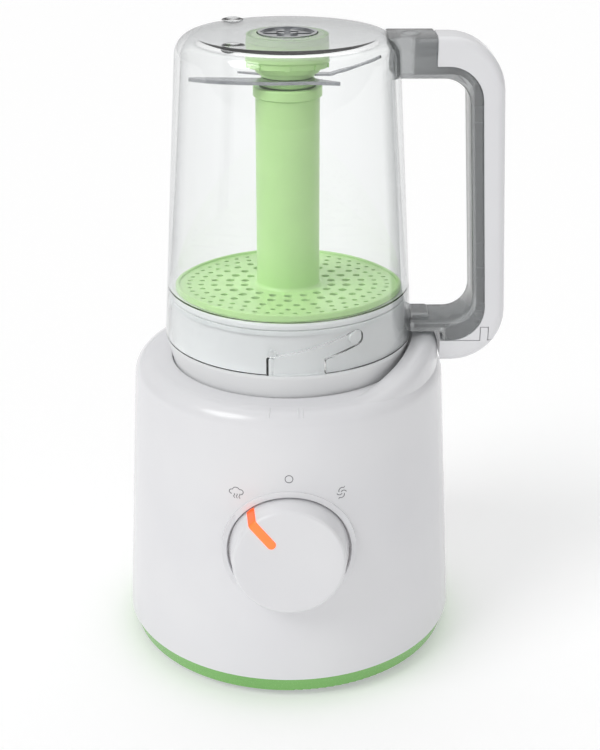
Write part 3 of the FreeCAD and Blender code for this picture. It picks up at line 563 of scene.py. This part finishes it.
jarLook = {"mouthRadius": 59.1, "lean": 0.0646, "wall": 2.9, "bore": 56.0, "step": 183.2, "topRounding": 8.3,
           "topInner": 6.0, "hub": 13.8, "mouthRounding": 0.7, "slotDepth": 1.35, "slotWidth": 7.1,
           "slotEntry": (-37.5, -15.0), "slotTurn": 28, "slotRise": 7.0, "pinHeight": 173.0,
           "pinAzimuths": (-58, 62, 182), "closedEnd": 3.1, "bandTop": 180}
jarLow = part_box("jar")[0].z / mm
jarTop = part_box("blade_coupling")[1].z / mm - 0.4


def jarRadius(height):
    return jarLook["mouthRadius"] - jarLook["lean"] * (height - jarLow)


def bayonetSlot(name):    # sloped slot for a lid pin, with a wide entry that is open at the mouth
    j = jarLook
    gap = j["slotWidth"] / 2
    slope = j["slotRise"] / (math.sin(math.radians(j["slotTurn"])) * j["bore"])
    shift = gap * math.hypot(1, slope)
    pin = j["pinHeight"]
    far, near = j["slotEntry"]
    outline = [(far, jarLow - 2), (near, jarLow - 2), (near, pin + slope * near - shift, 1.0),
               (gap, pin + slope * gap - shift, gap * 0.9), (gap, pin + slope * gap + shift, gap * 0.9),
               (far, pin + slope * far + shift, 1.0)]
    slot = cutPlate(name, outline, -70, -40)
    paintedEdgeShade = j["bore"] + j["slotDepth"]
    band = turnRings("slotBand", [(0, jarLow - 3), (paintedEdgeShade, jarLow - 3), (paintedEdgeShade, j["bandTop"]), (0, j["bandTop"])],
                     steps=256)
    combine(slot, band, "INTERSECT")
    return slot


def makeJar():
    j = jarLook
    stepRadius = jarRadius(j["step"]) - j["wall"]
    topRadius = jarRadius(jarTop)
    ceiling = jarTop - j["closedEnd"]
    section = [(j["hub"], jarTop), (topRadius, jarTop, j["topRounding"]),
               (j["mouthRadius"], jarLow, j["mouthRounding"]), (j["bore"], jarLow, 0.5), (j["bore"], j["step"], 0.5),
               (stepRadius, j["step"], 0.4), (topRadius - j["wall"], ceiling, j["topInner"]), (j["hub"], ceiling)]
    shell = turnRings("jarShell", section, steps=256)
    slot = bayonetSlot("firstSlot")
    for i, azimuth in enumerate(j["pinAzimuths"]):
        combine(shell, turnPiece(copyPiece(slot, f"slotTool{i}"), azimuth + 90))
    bpy.data.objects.remove(slot)
    settle(shell, finishes["polishedClearCopolyester"], "jar_body", "clear_jar", "jar")


makeJar()

jarFootLook = {"radius": 5.2, "height": 1.15, "places": ((-23.0, -29.5), (-25.5, 33.0))}


def makeJarFeet():    # small domes that the upturned jar stands on
    f = jarFootLook
    dome = turnRings("jarFoot", [(0, jarTop + f["height"]), (f["radius"] * 0.5, jarTop + f["height"] * 0.86),
                                 (f["radius"] * 0.82, jarTop + f["height"] * 0.45), (f["radius"], jarTop + 0.02, 0.2),
                                 (f["radius"] * 0.6, jarTop + 0.02), (0, jarTop + 0.02)], steps=40)
    twin = copyPiece(dome, "jarFootBack")
    for foot, (x, y) in zip((dome, twin), f["places"]):
        foot.location = (x * mm, y * mm, 0)
        applyPlace(foot)
        settle(foot, finishes["polishedClearCopolyester"], "jar_body", "clear_jar")


makeJarFeet()
print("jar done")

gripLook = {"half": 11.5, "wall": 1.8, "lean": 0.0583, "windowX": 82.9, "windowAt": 247.5, "windowTop": 281.1,
            "windowLow": 166.0, "windowRounding": 12, "armLow": 160.5, "top": 299.2, "seamX": 66.0, "capSeam": 156.0,
            "hornClear": 73.2, "gap": 0.12, "edge": 0.9, "backLow": 93.7, "backTop": (86.4, 286.5),
            "backRounding": 16, "channelRounding": 10.4, "boss": (55, 67.5, 168.2, 6), "lensX": 54.8}
lensRings = [(0, 1.35), (2.4, 1.15), (3.9, 0.6), (4.7, 0.05), (4.7, -0.5), (0, -0.5)]    # from the arm's top


def windowEdge(height):
    return gripLook["windowX"] + gripLook["lean"] * (gripLook["windowAt"] - height)


def makeGripFrame():    # hollow clear moulding from the jar round the window, open towards its cover
    g = gripLook
    top, low, wall, bend = g["windowTop"], g["windowLow"], g["wall"], g["backRounding"]
    backX, backZ = g["backTop"]
    outline = [(44, top), (windowEdge(top), top, g["windowRounding"]), (windowEdge(low), low, g["windowRounding"]),
               (54, low), (54, g["armLow"]), (g["hornClear"], g["armLow"], 2), (g["hornClear"], g["capSeam"]),
               (g["backLow"], g["capSeam"], bend), (backX, backZ, bend), (g["seamX"], backZ),
               (g["seamX"], g["top"]), (44, g["top"])]
    shell = cutPlate("gripFrame", outline, -g["half"], g["half"])
    softenEdges(shell, g["edge"], 60)
    left, right, rise, half = g["boss"]
    combine(shell, cutPlate("armBump", [(left, low - 2), (right, low - 2), (right, rise, 2), (left, rise)],
                            -half, half), "UNION")
    lens = turnRings("armLens", [(radius, g["top"] + rise) for radius, rise in lensRings], steps=40)
    lens.location = (g["lensX"] * mm, 0, 0)
    applyPlace(lens)
    combine(shell, lens, "UNION")
    high, paintedEdgeShade, bend = top + wall, low - wall, g["channelRounding"]
    inner = g["hornClear"] + wall
    hollow = [(56, g["top"] - wall), (112, g["top"] - wall), (112, 145), (inner, 145), (inner, g["armLow"] + wall),
              (60, g["armLow"] + wall), (60, paintedEdgeShade), (windowEdge(paintedEdgeShade) + wall, paintedEdgeShade, bend),
              (windowEdge(high) + wall, high, bend), (56, high)]
    combine(shell, cutPlate("gripHollow", hollow, wall - g["half"], g["half"] - wall))
    skin = [(0, 140), (jarRadius(140) + g["gap"], 140), (jarRadius(jarTop) + g["gap"], jarTop + g["gap"],
            jarLook["topRounding"]), (0, jarTop + g["gap"])]
    combine(shell, turnRings("jarSkin", skin, steps=256))
    combine(shell, turnRings("hornSkin", [(0, 140), (g["hornClear"], 140), (g["hornClear"], g["armLow"]),
                                          (0, g["armLow"])], steps=128))
    settle(shell, finishes["smokyClearCopolyester"], "jar_body", "smoky_clear", "handle_frame")


makeGripFrame()

gripCoverLook = {"slip": 0.2, "outerTopX": 96.0, "outerLowX": 103.9, "low": 145.0, "bend": 25, "rimRounding": 4.2,
                 "room": (94.1, 101.8, 76.5), "roomBend": 23, "roomRounding": 10.5, "lipTop": 2.1, "lipLow": 2.2,
                 "seamGap": 0.4, "tab": (91.4, 95.2, 162.8)}


def capOutline(grow):    # the end cap with its snap tab, a little larger or smaller
    left, right, peak = gripCoverLook["tab"]
    seam = gripLook["capSeam"] + grow
    return [(60, 140), (110, 140), (110, seam), (right + grow, seam), (right + grow, peak + grow),
            (left - grow, peak + grow), (left - grow, seam), (60, seam)]


def makeGripCover():    # white shell over the grip's back, and its end cap with a snap tab
    g, c = gripLook, gripCoverLook
    shell = cutPlate("gripCover", [(40, g["top"]), (c["outerTopX"], g["top"], c["bend"]),
                                   (c["outerLowX"], c["low"], c["bend"]), (40, c["low"])], -g["half"], g["half"])
    openPiece(shell)
    pick("EDGE", lambda edge: abs(edge.verts[0].co.y - edge.verts[1].co.y) < 0.001 * mm)
    bpy.ops.mesh.bevel(offset=c["rimRounding"] * mm, segments=8, affect="EDGES")
    closePiece()
    seamX, bend = g["seamX"] + c["slip"], g["backRounding"]
    backX, backZ = g["backTop"]
    combine(shell, cutPlate("coverReach", [(seamX, 310), (115, 310), (115, 140), (70, 140), (70, g["capSeam"]),
                                           (g["backLow"] + c["slip"], g["capSeam"], bend),
                                           (backX + c["slip"], backZ, bend), (seamX, backZ)], -20, 20), "INTERSECT")
    paintedEdgeShade, high = g["windowLow"] - g["wall"], g["windowTop"] + g["wall"]
    ceiling, ground = g["top"] - c["lipTop"], c["low"] + c["lipLow"]
    topX, lowX, hornX = c["room"]
    room = [(seamX - 3, ceiling), (topX, ceiling, c["roomBend"]), (lowX, ground, c["roomBend"]), (hornX, ground),
            (hornX, paintedEdgeShade), (windowEdge(paintedEdgeShade) + g["wall"], paintedEdgeShade, c["roomRounding"]),
            (windowEdge(high) + g["wall"], high, c["roomRounding"]), (seamX - 3, high)]
    combine(shell, cutPlate("coverRoom", room, g["wall"] - g["half"], g["half"] - g["wall"]))
    combine(shell, turnRings("hornRoom", [(0, 140), (g["hornClear"], 140), (g["hornClear"], 170), (0, 170)]))
    cap = copyPiece(shell, "gripEndCap")
    combine(cap, cutPlate("capBlock", capOutline(-c["seamGap"] / 2), -20, 20), "INTERSECT")
    combine(shell, cutPlate("coverBlock", capOutline(c["seamGap"] / 2), -20, 20))
    settle(shell, finishes["glossMouldedWhiteAbs"], "jar_body", "white_abs", "handle_cover")
    settle(cap, finishes["glossMouldedWhiteAbs"], "jar_body", "white_abs", "handle_end_cap")


makeGripCover()
print("grip done")

bladeHubLook = {"radius": 12.4, "rounding": 0.5, "below": (276.8, 279.15), "above": (280.75, 282.85), "nutRoom": 5.4,
                "shaftRoom": 3.1}


def makeBladeHub():    # green collars moulded over the blades' middle, below and above
    h = bladeHubLook
    for name, (low, high), bore in (("bladeHubLow", h["below"], h["nutRoom"]),
                                    ("bladeHubHigh", h["above"], h["shaftRoom"])):
        hub = turnRings(name, [(bore, low), (h["radius"], low, h["rounding"]), (h["radius"], high), (bore, high)])
        settle(hub, finishes["mouldedGreenPolypropylene"], "blades", "green_pp")


makeBladeHub()

markLook = {"azimuth": -97.0, "line": 0.32, "pairAzimuth": -86.5, "spread": 1.6, "shoulder": (67.5, 69, 70.5, 72),
            "jarRise": (0.8, 4, 8, 12), "ringHeight": 169.0, "ringSize": 2.0,
            "ringReach": 59, "plumbFrom": 320}


def aroundAxis(azimuth, radius, height=0.0):
    turn = math.radians(azimuth)
    return Vector((radius * math.cos(turn), radius * math.sin(turn), height)) * mm


def onShoulder(azimuth, radius):    # where a plumb line at that place first meets the housing
    start = aroundAxis(azimuth, radius, markLook["plumbFrom"])
    return nodes["base_housing"].ray_cast(start, Vector((0, 0, -1)))[1]


def makeMarks():    # fine raised lines, moulded in, that show how jar and base go together
    m = markLook
    white, clear = finishes["glossMouldedWhiteAbs"], finishes["polishedClearCopolyester"]
    for i, azimuth in enumerate((m["azimuth"], m["pairAzimuth"], m["pairAzimuth"] + m["spread"])):
        points = [onShoulder(azimuth, radius) for radius in m["shoulder"]]
        settle(drawTube(f"shoulderMark{i}", [points], m["line"], 2), white, "base", "white_abs")
    points = [aroundAxis(m["azimuth"], jarRadius(jarLow + rise), jarLow + rise) for rise in m["jarRise"]]
    settle(drawTube("jarMark", [points], m["line"], 2), clear, "jar_body", "clear_jar")
    height, size = m["ringHeight"], m["ringSize"]
    rise = math.radians(size) * m["ringReach"]
    points = [aroundAxis(m["azimuth"] + size * math.cos(turn), jarRadius(height), height + rise * math.sin(turn))
              for turn in (math.tau * i / 24 for i in range(25))]
    settle(drawTube("jarMarkRing", [points], m["line"], 2), clear, "jar_body", "clear_jar")


makeMarks()
print("marks done")


# studio

studioLook = {"sky": 0.62, "sides": 0.22, "cardFrom": 0.62, "cardTo": 0.9, "floorLift": 0.25, "floorWidth": 16}


def makeStudio():
    bpy.ops.mesh.primitive_plane_add(size=studioLook["floorWidth"])
    floor = bpy.context.object
    floor.name = "floor"
    material, tree, shader, place = startMaterial("whiteSweepPaper", Roughness=0.7, IOR=1.45)
    grain = addNode(tree, "ShaderNodeTexNoise", {"Scale": 1 / (2 * mm), "Detail": 2.0}, {"Vector": place})
    tree.links.new(fadeColour(tree, grain.outputs["Fac"], [(0.3, "#E6E6E6"), (0.7, "#EAEAEA")]),
                   shader.inputs["Base Color"])
    shader.inputs["Emission Color"].default_value = (1, 1, 1, 1)
    shader.inputs["Emission Strength"].default_value = studioLook["floorLift"]
    floor.data.materials.append(material)


def makeSky():    # bright all round, with dark cards at both sides that draw the edges; white where it is seen
    k = studioLook
    world = bpy.data.worlds.new("studio")
    bpy.context.scene.world = world
    world.use_nodes = True
    tree = world.node_tree
    place = addNode(tree, "ShaderNodeTexCoord").outputs["Generated"]
    split = addNode(tree, "ShaderNodeSeparateXYZ", links={"Vector": place})
    side = addNode(tree, "ShaderNodeMath", {"operation": "ABSOLUTE"}, {0: split.outputs["X"]})
    card = addNode(tree, "ShaderNodeMapRange", {"From Min": k["cardFrom"], "From Max": k["cardTo"],
                                                "To Min": k["sky"], "To Max": k["sides"],
                                                "interpolation_type": "SMOOTHSTEP"},
                   {"Value": side.outputs["Value"]})
    path = addNode(tree, "ShaderNodeLightPath")
    seen = addNode(tree, "ShaderNodeMath", {"operation": "MAXIMUM"}, {0: path.outputs["Is Camera Ray"],
                                                                      1: path.outputs["Is Transmission Ray"]})
    shown = addNode(tree, "ShaderNodeMapRange", {"To Max": 1.0}, {"Value": seen.outputs["Value"],
                                                                  "To Min": card.outputs["Result"]})
    tree.nodes["Background"].inputs["Color"].default_value = (1, 1, 1, 1)
    tree.links.new(shown.outputs["Result"], tree.nodes["Background"].inputs["Strength"])


lightLook = {"keyLight": {"direction": (-0.75, -0.5, 0.9), "strength": 1.0, "spread": 28},
             "topLight": {"direction": (0.1, 0.35, 1.0), "strength": 0.45, "spread": 60}}


def hangLight(name, direction, strength, spread):    # a broad, far light; direction points to where it hangs
    light = bpy.data.lights.new(name, "SUN")
    light.energy = strength
    light.angle = math.radians(spread)
    holder = bpy.data.objects.new(name, light)
    holder.rotation_euler = Vector(direction).to_track_quat("Z", "Y").to_euler()
    bpy.context.scene.collection.objects.link(holder)


makeStudio()
makeSky()
for name, light in lightLook.items():
    hangLight(name, **light)
bpy.context.scene.view_settings.view_transform = "Standard"


cameraLook = {"lens": 67.68, "sensor": 36, "place": (0, -0.633, 0.415), "tilt": 66, "pan": -0.508}


def setCamera():
    c = cameraLook
    lens = bpy.data.cameras.new("camera")
    lens.lens = c["lens"]
    lens.sensor_width = c["sensor"]
    lens.clip_start = 0.01
    camera = bpy.data.objects.new("camera", lens)
    camera.location = c["place"]
    camera.rotation_euler = (math.radians(c["tilt"]), 0, math.radians(c["pan"]))
    bpy.context.scene.collection.objects.link(camera)
    bpy.context.scene.camera = camera


setCamera()
print("studio and camera set")
